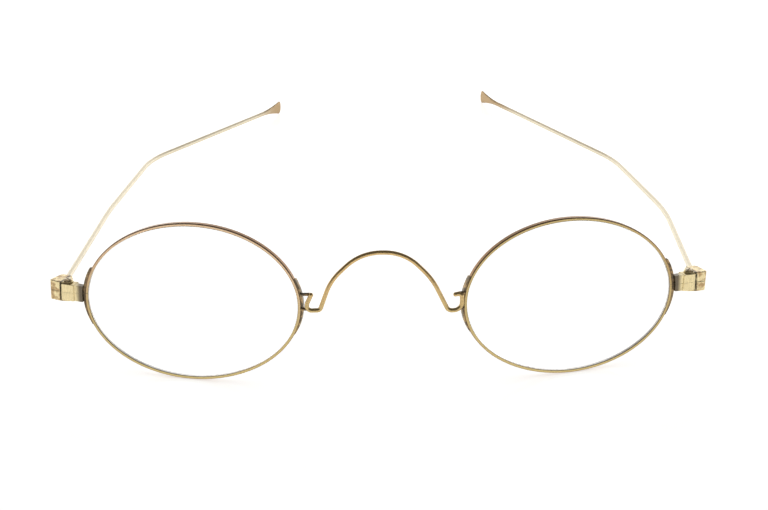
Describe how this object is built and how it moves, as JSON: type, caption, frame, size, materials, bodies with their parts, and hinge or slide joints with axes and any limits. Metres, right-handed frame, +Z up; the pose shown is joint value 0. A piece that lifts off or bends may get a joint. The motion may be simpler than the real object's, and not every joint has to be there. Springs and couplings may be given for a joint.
{
  "type": "eyeglasses",
  "caption": "Antique gold wire eyeglasses with oval lenses, an arched wire bridge and thin folding temples that end in flared paddles.",
  "frame": {"origin": "on the supporting surface, below the middle of the outline of the open glasses", "axes": "+Z up, +Y from the lenses back to the temple tips, +X to the wearer's left; rest pose is open, standing on the two rims and the two temple tips"},
  "size_m": [0.1126, 0.152, 0.0276],
  "materials": {
    "rim_metal": "worn satin gold",
    "bridge_metal": "worn satin gold",
    "strap_metal": "tarnished gold",
    "hinge_metal": "bright worn gold",
    "screw_metal": "satin",
    "temple_metal": "polished pale gold",
    "lens_glass": "clear polished"
  },
  "bodies": {
    "front": {"bridge": "bridge_metal", "eyewire_right": "rim_metal", "lens_right": "lens_glass", "nasal_strap_right": "strap_metal", "strap_upper_right": "strap_metal", "strap_lower_right": "strap_metal", "endpiece_upper_right": "hinge_metal", "endpiece_lower_right": "hinge_metal", "joint_screw_right": "screw_metal", "eyewire_left": "rim_metal", "lens_left": "lens_glass", "nasal_strap_left": "strap_metal", "strap_upper_left": "strap_metal", "strap_lower_left": "strap_metal", "endpiece_upper_left": "hinge_metal", "endpiece_lower_left": "hinge_metal", "joint_screw_left": "screw_metal"},
    "temple_left": {"temple_butt_left": "hinge_metal", "temple_wire_left": "temple_metal"},
    "temple_right": {"temple_butt_right": "hinge_metal", "temple_wire_right": "temple_metal"}
  },
  "joints": [
    {"name": "temple_left_hinge", "type": "hinge", "parent": "front", "child": "temple_left", "pos_m": [0.0526, -0.0644, 0.01361], "axis": [0.0453, 0.0879, 0.9951], "range_deg": [0, 80]},
    {"name": "temple_right_hinge", "type": "hinge", "parent": "front", "child": "temple_right", "pos_m": [-0.0526, -0.0644, 0.01361], "axis": [-0.0194, -0.0619, -0.9979], "range_deg": [-8, 72]}
  ]
}
